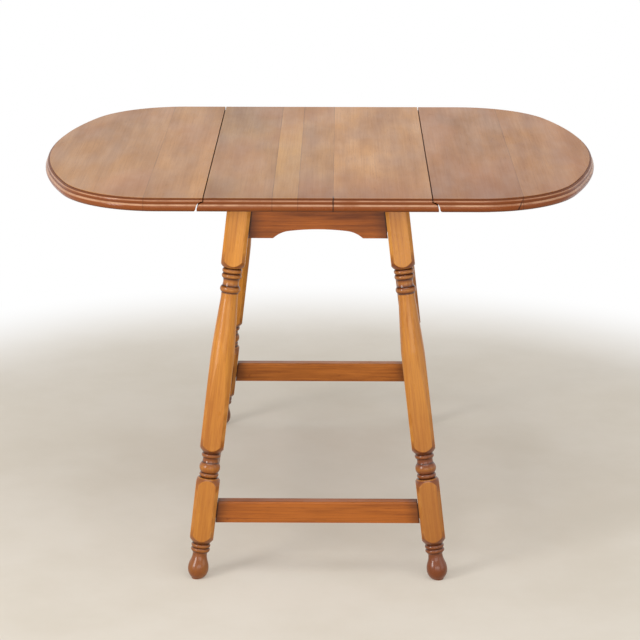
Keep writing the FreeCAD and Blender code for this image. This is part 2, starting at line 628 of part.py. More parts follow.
def apron(end, heading):
    """A rail under the top, laid out along X at the front. Those at the front and back are arched."""
    arched = end in ("front", "back")
    reach, face = (LEG_TOP_X, LEG_TOP_Y) if arched else (LEG_TOP_Y, LEG_TOP_X)
    outside = f"({face} + leg_size / 2 - apron_setback)"
    middle_height = f"({UNDERSIDE} - apron_height / 2)"
    path = [(f"-{reach}", UNDERSIDE), (f"-{reach}", APRON_BOTTOM)]
    if arched:
        half = "(arch_length / 2)"
        crown = f"({half} - arch_shoulder)"
        rise = "(arch_rise - arch_shoulder_rise)"
        bow = f"({crown}^2 + {rise}^2) / (2 * {rise})"
        path += [
            (f"-{half}", APRON_BOTTOM, "arch_shoulder_radius", -1),
            (f"-{crown}", f"{APRON_BOTTOM} + arch_shoulder_rise", bow, -1),
            (crown, f"{APRON_BOTTOM} + arch_shoulder_rise", "arch_shoulder_radius", -1),
            (half, APRON_BOTTOM),
        ]
    path += [(reach, APRON_BOTTOM), (reach, UNDERSIDE)]
    sketch = outline(f"apron_{end}_outline", path)
    sketch.Placement.Rotation = UPRIGHT
    blank = extruded(f"apron_{end}_blank", sketch, Vector(0, 1, 0), "apron_thickness")
    move(blank, y=f"-{outside}")
    tip = f"({leg_axis(reach, middle_height)} - leg_size / 2 + tenon_depth)"
    pair = tenons(f"apron_{end}", tip, f"-{outside} + apron_thickness / 2", "apron_tenon_thickness",
                  middle_height, "apron_tenon_height")
    return fitted_rail(f"apron_{end}", blank, pair, heading)


def stretcher(end, heading):
    """A low rail between two legs, laid out along X at the front, with eased upper edges."""
    long_way = end in ("front", "back")
    reach, face = (LEG_TOP_X, LEG_TOP_Y) if long_way else (LEG_TOP_Y, LEG_TOP_X)
    reach = leg_axis(reach, STRETCHER_MIDDLE)
    middle = f"-{leg_axis(face, STRETCHER_MIDDLE)}"
    half = "(stretcher_thickness / 2)"
    top = "(stretcher_bottom + stretcher_height)"
    sketch = outline(f"stretcher_{end}_section", [
        (f"-{half}", "stretcher_bottom"),
        (half, "stretcher_bottom"),
        (half, f"{top} - stretcher_round", "stretcher_round", 1),
        (f"{half} - stretcher_round", top),
        (f"stretcher_round - {half}", top, "stretcher_round", 1),
        (f"-{half}", f"{top} - stretcher_round"),
    ])
    sketch.Placement.Rotation = ACROSS
    blank = extruded(f"stretcher_{end}_blank", sketch, Vector(1, 0, 0), reach, reach)
    move(blank, y=middle)
    pair = tenons(f"stretcher_{end}", f"({reach} - leg_size / 2 + tenon_depth)", middle,
                  "stretcher_tenon_thickness", STRETCHER_MIDDLE, "stretcher_tenon_height")
    return fitted_rail(f"stretcher_{end}", blank, pair, heading)


def fitted_rail(name, blank, pair, heading):
    """Turn a rail into place, shoulder it against the legs and put its tenons on."""
    body = cut(f"{name}_shouldered", turned(f"{name}_turned", blank, heading), leg_sockets)
    ends = turned(f"{name}_tenons", join(f"{name}_tenon_pair", pair, False), heading)
    mortises.append(ends)
    return join(f"{name}_whole", [body, ends])


def corner_brace(corner, across, along):
    """A flat diagonal brace between two aprons."""
    near = "(brace_reach + brace_width)"
    sketch = outline(f"brace_{corner}_outline", [
        (f"{across} * ({SIDE_APRON_INSIDE} - {near})", f"{along} * {FRONT_APRON_INSIDE}"),
        (f"{across} * ({SIDE_APRON_INSIDE} - brace_reach)", f"{along} * {FRONT_APRON_INSIDE}"),
        (f"{across} * {SIDE_APRON_INSIDE}", f"{along} * ({FRONT_APRON_INSIDE} - brace_reach)"),
        (f"{across} * {SIDE_APRON_INSIDE}", f"{along} * ({FRONT_APRON_INSIDE} - {near})"),
    ])
    brace = extruded(f"brace_{corner}", sketch, Vector(0, 0, 1), "brace_height")
    move(brace, z=f"{UNDERSIDE} - brace_drop - brace_height")
    return node(brace, f"corner_brace_{corner}")


# The top, its leaves and their supports
centre_boards()
open_leaf = leaf_slab()
for side, angle in SIDES:
    leaf(side, angle, open_leaf)
for end, angle in (("back", 0), ("front", HALF_TURN)):
    slide_guide(end, angle)

# The frame: rails shouldered to the legs, then legs with the mortises of all the rails
socket = square_bar("leg_socket", "leg_size + 2 * shoulder_gap")
sockets = [leaned(f"socket_{corner}", socket, *signs) for corner, *signs in CORNERS]
leg_sockets = join("leg_sockets", sockets, False)
mortises = []
aprons = {end: apron(end, heading) for end, heading in HEADINGS}
for side, angle in SIDES:
    holes = [channel(f"{side}_{end}_mortise", y, ("0", "top_length")) for end, y in SLIDE_PLACES]
    tool = turned(f"{side}_mortises", join(f"{side}_mortise_pair", holes, False), angle)
    aprons[side] = cut(f"apron_{side}_mortised", aprons[side], tool)
for end, rail in aprons.items():
    node(rail, f"apron_{end}")
for end, heading in HEADINGS:
    node(stretcher(end, heading), f"stretcher_{end}")
standing = box("standing_height", ("-top_length", "top_length"), ("-top_depth", "top_depth"),
               ("0", UNDERSIDE))
all_mortises = join("all_mortises", mortises, False)
leg_form = leg_blank()
for corner, *signs in CORNERS:
    trimmed = overlap(f"trimmed_{corner}", leaned(f"leaned_{corner}", leg_form, *signs), standing)
    node(cut(f"mortised_{corner}", trimmed, all_mortises), f"leg_{corner}")
    corner_brace(corner, *signs)

doc.recompute()
failed = [item.Label for item in doc.Objects if {"Invalid", "Error"} & set(item.State)]
failed += [item.Label for item in nodes if item.Shape.isNull() or not item.Shape.isValid()]
if failed:
    raise RuntimeError("not built: " + ", ".join(failed))
os.makedirs("parts", exist_ok=True)
for item in nodes:
    item.Shape.exportStep(f"parts/{item.Label}.step")
print(len(nodes), "sub-parts")
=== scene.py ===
import math

import bmesh
import bpy
from mathutils import Color, Matrix, Vector


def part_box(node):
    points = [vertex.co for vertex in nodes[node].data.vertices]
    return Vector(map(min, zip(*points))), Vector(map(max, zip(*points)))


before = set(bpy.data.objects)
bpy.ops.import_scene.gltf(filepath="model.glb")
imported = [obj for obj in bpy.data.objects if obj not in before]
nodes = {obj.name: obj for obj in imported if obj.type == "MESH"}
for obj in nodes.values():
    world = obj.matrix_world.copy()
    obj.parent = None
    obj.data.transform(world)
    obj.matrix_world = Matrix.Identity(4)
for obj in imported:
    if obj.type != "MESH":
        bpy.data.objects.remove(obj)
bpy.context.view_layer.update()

# Sizes of the table in metres, read from the frame or repeated from its drawing
(_, TOP_FRONT, TOP_LOW), (_, _, TOP_HIGH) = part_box("centre_board_2")
# A leg: half its width, its chamfer, how far it leans out per height, and the ends of its axis
LEG_HALF = 0.02125
LEG_CHAMFER = 0.006
LEG_SPLAY = math.tan(math.radians(6.8))
LEG_AXIS = Vector((-LEG_SPLAY, -LEG_SPLAY, 1.0))
LEG_TOP = Vector((0.139, 0.3385, TOP_LOW))
LEG_FOOT = LEG_TOP - LEG_AXIS * TOP_LOW

# Where the camera stood, in metres and degrees
CAMERA_PLACE = Vector((0.0380, -4.143, 1.630))
CAMERA_PITCH = 16.966
CAMERA_YAW = 0.52
CAMERA_ROLL = 0.04
# Its lens: focal length and frame in pixels of the photograph, and sensor in millimetres
CAMERA_FOCUS_PIXELS = 2200
PHOTO_PIXELS = 640
SENSOR = 36


# Building blocks for materials

# Sockets of a colour Mix node, whose names repeat for other kinds of data
MIX_AMOUNT, MIX_FIRST, MIX_SECOND, MIX_RESULT = 0, 6, 7, 2
# The two shaders that a Mix Shader node takes, which share a name
FIRST_SHADER, SECOND_SHADER = 1, 2
# Brightest level of a colour on screen
FULL_LEVEL = 255
WHITE = (1.0, 1.0, 1.0, 1.0)
# Shares of a step that falls, where others rise
FALLING = (1.0, 0.0)
# Turns that lay the grain along an axis of the table
RIGHT_ANGLE = 90
ALONG_X = (0, 0, math.radians(RIGHT_ANGLE))
ALONG_Y = (0, 0, 0)


def add(tree, kind, inputs=None, **settings):
    """A node with its settings, whose inputs take values or the sockets that feed them."""
    made = tree.nodes.new(kind)
    for name, value in settings.items():
        setattr(made, name, value)
    for name, value in (inputs or {}).items():
        socket = made.inputs[name]
        if isinstance(value, bpy.types.NodeSocket):
            tree.links.new(value, socket)
        else:
            socket.default_value = value
    return made


def sums(tree, operation, *values, clamp=False):
    """The result of one operation on values."""
    made = add(tree, "ShaderNodeMath", dict(enumerate(values)), operation=operation, use_clamp=clamp)
    return made.outputs["Value"]


def times(tree, first, second):
    """Two values multiplied."""
    return sums(tree, "MULTIPLY", first, second)


def with_share(tree, base, value, share, clamp=False):
    """A base value with a share of another added to it."""
    return sums(tree, "MULTIPLY_ADD", value, share, base, clamp=clamp)


def strongest(tree, *values):
    """The largest of several values."""
    most = values[0]
    for value in values[1:]:
        most = sums(tree, "MAXIMUM", most, value)
    return most


def vectors(tree, operation, *values):
    """The result of one operation on vectors, a number for a length or a dot product."""
    made = add(tree, "ShaderNodeVectorMath", dict(enumerate(values)), operation=operation)
    return made.outputs["Value" if operation in ("DOT_PRODUCT", "LENGTH") else "Vector"]


def along_axes(tree, place):
    """The three coordinates of a place, by the names of their axes."""
    return add(tree, "ShaderNodeSeparateXYZ", {"Vector": place}).outputs


def between(tree, value, levels, shares=(0.0, 1.0)):
    """A smooth step from one share to the other while a value goes from level to level."""
    made = add(tree, "ShaderNodeMapRange", {
        "Value": value, "From Min": levels[0], "From Max": levels[1],
        "To Min": shares[0], "To Max": shares[1],
    }, interpolation_type="SMOOTHSTEP")
    return made.outputs["Result"]


def near(tree, value, level, reach):
    """A soft line where a value passes a level."""
    away = sums(tree, "ABSOLUTE", sums(tree, "SUBTRACT", value, level))
    return between(tree, away, (0.0, reach), FALLING)


def along_level(tree, level, shares):
    """A value that follows shares along a height in metres, given as pairs of height and share."""
    heights, levels = zip(*shares)
    low, high = heights[0], heights[-1]
    part = add(tree, "ShaderNodeMapRange", {"Value": level, "From Min": low, "From Max": high})
    ramp = add(tree, "ShaderNodeValToRGB", {"Fac": part.outputs["Result"]})
    stops = ramp.color_ramp.elements
    while len(stops) > 1:
        stops.remove(stops[0])
    stops[0].position = 0.0
    for height in heights[1:]:
        stops.new((height - low) / (high - low))
    for stop, share in zip(stops, levels):
        stop.color = (share, share, share, 1.0)
    return ramp.outputs["Color"]


def lines_at(reach, heights):
    """Shares that rise to one at each height and fall to none on both sides."""
    return [(height + shift, share) for height in heights
            for shift, share in ((-reach, 0.0), (0.0, 1.0), (reach, 0.0))]


def blend(tree, amount, first, second, mode="MIX"):
    """Two colours mixed by an amount."""
    inputs = {MIX_AMOUNT: amount, MIX_FIRST: first, MIX_SECOND: second}
    made = add(tree, "ShaderNodeMix", inputs, data_type="RGBA", blend_type=mode)
    return made.outputs[MIX_RESULT]


def paint(*levels):
    """A colour as it looks on screen, from 0 to 255, turned into light."""
    seen = Color([level / FULL_LEVEL for level in levels])
    return (*seen.from_srgb_to_scene_linear(), 1.0)


def noise(tree, place, scale=1.0, detail=2.0, rough=0.5, twist=0.0):
    """Cloudy noise, with its scale in waves per metre."""
    made = add(tree, "ShaderNodeTexNoise", {
        "Vector": place, "Scale": scale, "Detail": detail, "Roughness": rough, "Distortion": twist,
    })
    return made.outputs["Fac"]


def patches(tree, place, levels, shares=(0.0, 1.0), **look):
    """Soft patches: shares that follow the levels of a noise."""
    return between(tree, noise(tree, place, **look), levels, shares)


def stretched(tree, place, across, along):
    """Coordinates drawn out along Y, the way the grain runs."""
    made = add(tree, "ShaderNodeMapping", {"Vector": place, "Scale": (across, along, across)})
    return made.outputs["Vector"]


def new_group(name, inputs, outputs):
    """A node group with named sockets, and its two ends."""
    group = bpy.data.node_groups.new(name, "ShaderNodeTree")
    for way, sockets in (("INPUT", inputs), ("OUTPUT", outputs)):
        for label, kind in sockets.items():
            group.interface.new_socket(label, in_out=way, socket_type=f"NodeSocket{kind}")
    return group, add(group, "NodeGroupInput"), add(group, "NodeGroupOutput")


def put_out(group, end, values):
    """Values handed to the outputs of a group."""
    for label, value in values.items():
        group.links.new(value, end.inputs[label])


# Wood grain: waves per metre across and along it, and the look of the noise
GRAIN_NOISE = {
    "Figure": ((13.0, 3.2), {"detail": 3.0, "twist": 0.3}),
    "Streak": ((210.0, 7.0), {"detail": 4.0, "rough": 0.65}),
    "Line": ((520.0, 6.0), {"rough": 0.6}),
    "Bend": ((5.0, 1.4), {}),
    "Pore": ((1150.0, 46.0), {}),
}
# Growth bands: radians per metre across the grain, and radians by which they bend
BAND_TURN = 190.0
BAND_BEND = 15.0
WAVE_LEVELS = (-1.0, 1.0)
# Levels of the noise between which each pattern grows
PORE_LEVELS = (0.60, 0.72)
FIGURE_LEVELS = (0.30, 0.72)
STREAK_LEVELS = (0.25, 0.78)
LINE_LEVELS = (0.46, 0.74)
# How much each pattern darkens the wood
BAND_SHARE = 0.16
LINE_SHARES = (0.0, 0.42)
PORE_SHARE = 0.32
# Middle between pale and dark, about which the contrast spreads
MIDDLE = 0.5
# Dark spots, and smears that change the roughness
SPOTS = {"scale": 34.0, "detail": 3.0, "rough": 0.6, "levels": (0.70, 0.76), "shares": (0.0, 0.35)}
SMEARS = {"scale": 17.0, "detail": 3.0, "rough": 0.6, "levels": (0.30, 0.72), "shares": (-0.05, 0.07)}
STREAK_ROUGHNESS = 0.05
# Pores lie below the wood by this share of the height of a streak
PORE_HEIGHT = -0.6
# Relief of the grain in metres
GRAIN_DEPTH = 0.0004


def grain_group():
    """Wood grain along Y: cloudy figure, streaks, fine lines, growth bands and short pores."""
    kinds = ("Figure", "Streak", "Line", "Band", "Pore")
    group, start, end = new_group("wood_grain", {"Place": "Vector"}, dict.fromkeys(kinds, "Float"))
    place = start.outputs["Place"]
    drawn = {kind: noise(group, stretched(group, place, *waves), **look)
             for kind, (waves, look) in GRAIN_NOISE.items()}
    turn = times(group, along_axes(group, place)["X"], BAND_TURN)
    wave = sums(group, "SINE", with_share(group, turn, drawn["Bend"], BAND_BEND))
    drawn["Band"] = between(group, wave, WAVE_LEVELS)
    drawn["Pore"] = between(group, drawn["Pore"], PORE_LEVELS)
    put_out(group, end, {kind: drawn[kind] for kind in kinds})
    return group


def stain_group(grain_tree):
    """Stained wood from its grain: colour between two tones, roughness, and height."""
    group, start, end = new_group(
        "stained_wood",
        {"Place": "Vector", "Spots": "Vector", "Pale": "Color", "Dark": "Color",
         "Streaks": "Float", "Contrast": "Float", "Dullness": "Float"},
        {"Color": "Color", "Roughness": "Float", "Height": "Float"},
    )
    given = start.outputs
    grain = add(group, "ShaderNodeGroup", {"Place": given["Place"]}, node_tree=grain_tree).outputs
    figure = between(group, grain["Figure"], FIGURE_LEVELS)
    streak = between(group, grain["Streak"], STREAK_LEVELS)
    cloudy = with_share(group, times(group, figure, 1.0 - BAND_SHARE), grain["Band"], BAND_SHARE)
    mixed = with_share(group, cloudy, sums(group, "SUBTRACT", streak, cloudy), given["Streaks"])
    centred = sums(group, "SUBTRACT", mixed, MIDDLE)
    amount = with_share(group, MIDDLE, centred, given["Contrast"], clamp=True)
    color = blend(group, amount, given["Pale"], given["Dark"])
    fine_line = between(group, grain["Line"], LINE_LEVELS, LINE_SHARES)
    color = blend(group, fine_line, color, given["Dark"])
    pore = times(group, grain["Pore"], PORE_SHARE)
    for mark in (pore, patches(group, given["Spots"], **SPOTS)):
        color = blend(group, mark, color, given["Dark"], "MULTIPLY")
    smeared = sums(group, "ADD", given["Dullness"], patches(group, given["Spots"], **SMEARS))
    put_out(group, end, {
        "Color": color,
        "Roughness": with_share(group, smeared, streak, STREAK_ROUGHNESS),
        "Height": with_share(group, streak, grain["Pore"], PORE_HEIGHT),
    })
    return group


STAIN = stain_group(grain_group())


def new_material(name):
    """An empty material, its node tree and its shader."""
    material = bpy.data.materials.new(name)
    material.use_nodes = True
    tree = material.node_tree
    tree.nodes.clear()
    shader = add(tree, "ShaderNodeBsdfPrincipled")
    add(tree, "ShaderNodeOutputMaterial", {"Surface": shader.outputs["BSDF"]})
    return material, tree, shader


def object_place(tree):
    """Coordinates of the table, the same for all its pieces."""
    return add(tree, "ShaderNodeTexCoord").outputs["Object"]


def board_place(tree, direction, offset):
    """Coordinates along a board's grain, shifted so that no two boards match, and the table's own."""
    place = object_place(tree)
    turned = add(tree, "ShaderNodeMapping", {"Vector": place, "Rotation": direction, "Location": offset})
    return turned.outputs["Vector"], place


def stained(tree, grain_place, spot_place, tones, grain_look):
    """The outputs of the stained-wood group with the tones of one piece."""
    pale, dark = tones
    streaks, contrast, dullness = grain_look
    return add(tree, "ShaderNodeGroup", node_tree=STAIN, inputs={
        "Place": grain_place, "Spots": spot_place, "Pale": pale, "Dark": dark,
        "Streaks": streaks, "Contrast": contrast, "Dullness": dullness,
    }).outputs


def raise_surface(tree, shader, height, strength, distance):
    """A relief in the surface from a height."""
    relief = add(tree, "ShaderNodeBump", {"Strength": strength, "Distance": distance, "Height": height})
    tree.links.new(relief.outputs["Normal"], shader.inputs["Normal"])


def finish_wood(tree, shader, color, rough, height, relief, varnish):
    """Colour, roughness, open grain and varnish of a piece of wood."""
    tree.links.new(color, shader.inputs["Base Color"])
    tree.links.new(rough, shader.inputs["Roughness"])
    raise_surface(tree, shader, height, relief, GRAIN_DEPTH)
    for socket, value in varnish.items():
        shader.inputs[socket].default_value = value


# Stains and finishes of the table, with painted shade and painted highlights on the moulded edge and a
# back stretcher painted lighter

# Moulded edge: a colour that is part end-grain stain and part painted shade, a painted shade for its
# hollows, and a painted highlight for its rounds
EDGE_STAIN_AND_SHADE = paint(122, 58, 14)
EDGE_DARK = paint(58, 26, 8)
EDGE_HIGHLIGHT = paint(226, 182, 146)
FLUSH_STAIN = paint(194, 128, 84)
QUIRK_STAIN = paint(50, 24, 12)
GLAZE_STAIN = paint(112, 54, 16)
RUBBED_STAIN = paint(232, 172, 92)
DRY_STAIN = paint(150, 108, 70)
LEG_TONES = (paint(217, 148, 57), paint(170, 102, 33))
APRON_TONES = (paint(164, 89, 29), paint(98, 46, 12))
STRETCHER_TONES = (paint(164, 91, 31), paint(106, 51, 15))
# The back stretcher's tones are a lighter copy of the stretcher stain, painted light against the shade it
# stands in under the top
FAR_STRETCHER_LIGHTENED_TONES = (paint(194, 116, 46), paint(138, 74, 25))
INNER_TONES = (paint(196, 158, 112), paint(150, 110, 70))
SLIDE_TONES = (paint(204, 160, 104), paint(160, 112, 64))
STEEL_TONES = (paint(120, 108, 92), paint(78, 66, 54))

# How a wood shows its grain: share of streaks, contrast of its tones, and roughness
TOP_GRAIN = (0.16, 1.15, 0.36)
LEG_GRAIN = (0.48, 1.30, 0.30)
RAIL_GRAIN = (0.45, 1.80, 0.34)
BARE_GRAIN = (0.36, 1.20, 0.60)
# Strength of the open grain under varnish and on bare wood
VARNISHED_RELIEF = 0.10
BARE_RELIEF = 0.16
# Varnish: values of the shader's own sockets
TOP_VARNISH = {"Specular IOR Level": 0.15, "Coat Weight": 0.13, "Coat Roughness": 0.12}
LEG_VARNISH = {"Specular IOR Level": 0.22, "Coat Roughness": 0.12}
RAIL_VARNISH = {"Specular IOR Level": 0.24, "Coat Weight": 0.04, "Coat Roughness": 0.20}
NO_VARNISH = {}

# Flat of the top: spots and smears drawn out along the grain, and a warm flush in the stain
SMEAR_STRETCH = (1.0, 0.35)
FLUSH_WAVES = (6.0, 2.0)
FLUSH_PATCHES = {"levels": (0.44, 0.68), "shares": (0.0, 0.34)}
# The darkening towards the front edge would be full this far ahead of it, in metres
FRONT_DARK_AHEAD = 0.02
# Moulded edge: metres below the top where its darker colour, part end-grain stain and part painted shade,
# starts and is full, and share of that colour
EDGE_START = (0.0003, 0.0012)
EDGE_SHARE = 0.90
# Painted shade in the hollows of the moulded edge and under it, and painted highlights on its rounds:
# metres below the top, and share
EDGE_PAINTED_SHADE = (
    (0.0001, 0.0), (0.0003, 0.42), (0.0028, 0.42), (0.0036, 0.08), (0.0070, 0.10), (0.0092, 0.40),
    (0.0102, 0.0), (0.0190, 0.0), (0.0215, 0.25), (0.0234, 0.80), (0.0240, 0.0),
)
EDGE_PAINTED_HIGHLIGHTS = (
    (0.0032, 0.0), (0.0041, 0.50), (0.0052, 0.20), (0.0060, 0.0), (0.0100, 0.0), (0.0108, 0.50),
    (0.0124, 0.48), (0.0138, 0.0),
)
# Patches in which the painted highlights show
HIGHLIGHT_PATCHES = {"scale": 22.0, "detail": 3.0, "rough": 0.6, "levels": (0.30, 0.62), "shares": (0.45, 1.0)}
# Glue lines between the boards: half width in metres, and patches in which they show
GLUE_LINE_HALF = 0.0010
GLUE_PATCHES = {"scale": 9.0, "levels": (0.35, 0.65), "shares": (0.20, 0.55)}
# Cracks in the front edge: half width, wander and its waves per metre, and how far in they run
CRACK_HALF = 0.0022
CRACK_WANDER = 0.004
CRACK_WAVES = 90.0
CRACK_ENDS = (0.012, 0.030)
# Dry underside: metres above it where the dry wood starts to end and ends, and its share
UNDER_END = (0.0002, 0.0012)
UNDER_SHARE = 0.55
# What each place adds to the roughness
EDGE_ROUGHNESS = -0.12
HOLLOW_ROUGHNESS = 0.55
UNDER_ROUGHNESS = 0.28

# Legs: shift of the grain from leg to leg
LEG_SHIFT = (0.37, 0.53, 0.0)
# Distance from a leg's axis over which its flat faces begin
FLAT_START = (LEG_HALF - 0.0011, LEG_HALF - 0.0006)
# Glaze along a leg, on its flats and tapers, foot, ball and neck: height in metres, and share
GLAZE_SHARES = (
    ((0.071, 0.36), (0.187, 0.30), (0.239, 0.27), (0.320, 0.19), (0.523, 0.15), (0.574, 0.04),
     (0.687, 0.00)),
    ((0.0000, 1.00), (0.0200, 0.95), (0.0460, 0.95), (0.0500, 1.00), (0.0539, 0.75), (0.0578, 1.00),
     (0.0617, 0.75), (0.0656, 1.00), (0.0690, 1.00), (0.0705, 0.00)),
    ((0.1875, 0.00), (0.1890, 1.00), (0.1935, 0.72), (0.1975, 1.00), (0.2070, 0.46), (0.2165, 0.95),
     (0.2210, 0.85), (0.2255, 1.00), (0.2295, 0.72), (0.2335, 1.00), (0.2370, 1.00), (0.2385, 0.00)),
    ((0.5240, 0.00), (0.5270, 0.95), (0.5330, 0.42), (0.5390, 0.95), (0.5455, 0.38), (0.5520, 0.95),
     (0.5566, 0.42), (0.5612, 0.95), (0.5658, 0.42), (0.5704, 0.95), (0.5730, 0.00)),
)
# The same on the rounded shoulders between the flats
SHOULDER_SHARES = (
    (0.069, 0.0), (0.070, 0.95), (0.090, 0.55), (0.099, 0.0), (0.158, 0.0), (0.168, 0.55),
    (0.187, 0.95), (0.188, 0.0), (0.237, 0.0), (0.238, 0.95), (0.258, 0.55), (0.268, 0.0),
    (0.572, 0.0), (0.573, 0.95), (0.593, 0.50), (0.603, 0.0),
)
GLAZE_PATCHES = {"scale": 26.0, "detail": 3.0, "rough": 0.6, "levels": (0.25, 0.75), "shares": (0.80, 1.0)}
# The legs right of the middle carry more glaze
MIDDLE_OF_TABLE = (-0.02, 0.02)
RIGHT_GLAZE = (0.0, 0.22)
# Quirks where two turned shapes meet, at the ankle, the ball and the neck: half width and heights
QUIRKS = (
    (0.0017, (0.0500, 0.0578, 0.0656, 0.0690)),
    (0.0017, (0.1890, 0.1975, 0.2165, 0.2255, 0.2335, 0.2370)),
    (0.0025, (0.5270, 0.5390, 0.5520, 0.5612, 0.5704)),
)
QUIRK_SHARE = 0.92
# Wear on the chamfers: reach in metres, patches and share
CHAMFER_REACH = 0.0012
CHAMFER_PATCHES = {"scale": 40.0, "detail": 3.0, "levels": (0.40, 0.65)}
CHAMFER_SHARE = 0.30
# Coat of a leg without glaze, and what full glaze adds
LEG_COAT = 0.02
GLAZE_COAT = 0.46

# Dark ends of the rails, soft and at the joint: metres from the leg's face, and shares
RAIL_END_SHADES = (
    ((-0.030, 0.0), (0.0, 0.52)),
    ((-0.0040, -0.0010), (0.0, 0.85)),
)

# Hinges: browned patches, roughness and what the patches add to it, and brush marks
STEEL_PATCHES = {"scale": 160.0, "detail": 4.0, "rough": 0.65, "levels": (0.35, 0.70)}
STEEL_ROUGHNESS = 0.34
BROWNED_ROUGHNESS = 0.20
BRUSH_WAVES = (1500.0, 120.0)
BRUSH_RELIEF = 0.15
BRUSH_DEPTH = 0.0002


# Materials of the table

def top_board_material(name, tones, front_darkening, offset, seams, cracks):
    """A board of the top: soft figure, darker moulded edge that is part stain and part painted shade,
    painted shade in its hollows, painted highlights on its rounds, glue lines, cracks and dry underside.
    """
    material, tree, shader = new_material(name)
    grain_place, place = board_place(tree, ALONG_Y, offset)
    axes = along_axes(tree, place)
    stain = stained(tree, grain_place, stretched(tree, place, *SMEAR_STRETCH), tones, TOP_GRAIN)
    flush = patches(tree, stretched(tree, grain_place, *FLUSH_WAVES), **FLUSH_PATCHES)
    color = blend(tree, flush, stain["Color"], FLUSH_STAIN)
    # Darker towards the front edge
    share, reach = front_darkening
    front_dark_levels = (TOP_FRONT - FRONT_DARK_AHEAD, TOP_FRONT + reach)
    color = blend(tree, between(tree, axes["Y"], front_dark_levels, (share, 0.0)), color, EDGE_STAIN_AND_SHADE)

    # The moulded edge takes a darker colour that is part end-grain stain and part painted shade
    drop = sums(tree, "SUBTRACT", TOP_HIGH, axes["Z"])
    edge = between(tree, drop, EDGE_START)
    color = blend(tree, times(tree, edge, EDGE_SHARE), color, EDGE_STAIN_AND_SHADE)
    # Painted shade in the hollows of the edge and under it, which also makes them rougher
    hollow = along_level(tree, drop, EDGE_PAINTED_SHADE)
    color = blend(tree, hollow, color, EDGE_DARK)
    # Painted highlights along the rounds of the edge, in patches
    wear_and_highlight = times(tree, along_level(tree, drop, EDGE_PAINTED_HIGHLIGHTS), patches(tree, place, **HIGHLIGHT_PATCHES))
    color = blend(tree, wear_and_highlight, color, EDGE_HIGHLIGHT)

    faint = patches(tree, place, **GLUE_PATCHES)
    for seam in seams:
        line = near(tree, axes["X"], seam, GLUE_LINE_HALF)
        color = blend(tree, times(tree, line, faint), color, QUIRK_STAIN)
    crack_levels = [TOP_FRONT + end for end in CRACK_ENDS]
    for seam, lean in cracks:
        wander = with_share(tree, -CRACK_WANDER / 2, noise(tree, place, CRACK_WAVES), CRACK_WANDER)
        wander = with_share(tree, wander, drop, lean)
        split = near(tree, sums(tree, "ADD", axes["X"], wander), seam, CRACK_HALF)
        front = between(tree, axes["Y"], crack_levels, FALLING)
        color = blend(tree, times(tree, split, front), color, QUIRK_STAIN)

    under = between(tree, axes["Z"], [TOP_LOW + end for end in UNDER_END], FALLING)
    color = blend(tree, times(tree, under, UNDER_SHARE), color, DRY_STAIN)
    rough = stain["Roughness"]
    for part, change in ((edge, EDGE_ROUGHNESS), (hollow, HOLLOW_ROUGHNESS), (under, UNDER_ROUGHNESS)):
        rough = with_share(tree, rough, part, change)
    finish_wood(tree, shader, color, rough, stain["Height"], VARNISHED_RELIEF, TOP_VARNISH)
    return material


def leg_place(tree):
    """All legs laid onto one: the table's place, the way out from the axis, the height, a shift."""
    place = object_place(tree)
    from_foot = vectors(tree, "SUBTRACT", vectors(tree, "ABSOLUTE", place), LEG_FOOT)
    level = vectors(tree, "DOT_PRODUCT", from_foot, LEG_AXIS / LEG_AXIS.length_squared)
    on_axis = add(tree, "ShaderNodeVectorMath", {0: LEG_AXIS, "Scale": level}, operation="SCALE")
    out = vectors(tree, "SUBTRACT", from_foot, on_axis.outputs["Vector"])
    shift = vectors(tree, "MULTIPLY", vectors(tree, "SIGN", place), LEG_SHIFT)
    return place, along_axes(tree, out), level, shift


def leg_material():
    """Honey-coloured legs: dark glaze left in the turnings and quirks, chamfers rubbed pale."""
    material, tree, shader = new_material("leg_honey_stain")
    place, out, level, shift = leg_place(tree)
    along_grain = add(tree, "ShaderNodeCombineXYZ", {"X": out["X"], "Y": level, "Z": out["Y"]})
    grain_place = vectors(tree, "ADD", along_grain.outputs["Vector"], shift)
    stain = stained(tree, grain_place, place, LEG_TONES, LEG_GRAIN)
    width = sums(tree, "ABSOLUTE", out["X"])
    depth = sums(tree, "ABSOLUTE", out["Y"])

    off_flats = between(tree, sums(tree, "MAXIMUM", width, depth), FLAT_START, FALLING)
    shoulder = times(tree, along_level(tree, level, SHOULDER_SHARES), off_flats)
    glaze = strongest(tree, shoulder, *(along_level(tree, level, shares) for shares in GLAZE_SHARES))
    glaze = times(tree, glaze, patches(tree, place, **GLAZE_PATCHES))
    more = between(tree, along_axes(tree, place)["X"], MIDDLE_OF_TABLE, RIGHT_GLAZE)
    glaze = sums(tree, "ADD", glaze, more, clamp=True)
    quirk = strongest(tree, *(along_level(tree, level, lines_at(*quirks)) for quirks in QUIRKS))
    chamfer = sums(tree, "ADD", width, depth)
    wear_and_highlight = near(tree, chamfer, 2 * LEG_HALF - LEG_CHAMFER, CHAMFER_REACH)
    wear_and_highlight = times(tree, wear_and_highlight, patches(tree, place, **CHAMFER_PATCHES))

    color = blend(tree, times(tree, wear_and_highlight, CHAMFER_SHARE), stain["Color"], RUBBED_STAIN)
    color = blend(tree, glaze, color, GLAZE_STAIN)
    color = blend(tree, times(tree, quirk, QUIRK_SHARE), color, QUIRK_STAIN)
    finish_wood(tree, shader, color, stain["Roughness"], stain["Height"], VARNISHED_RELIEF, LEG_VARNISH)
    tree.links.new(with_share(tree, LEG_COAT, glaze, GLAZE_COAT), shader.inputs["Coat Weight"])
    return material


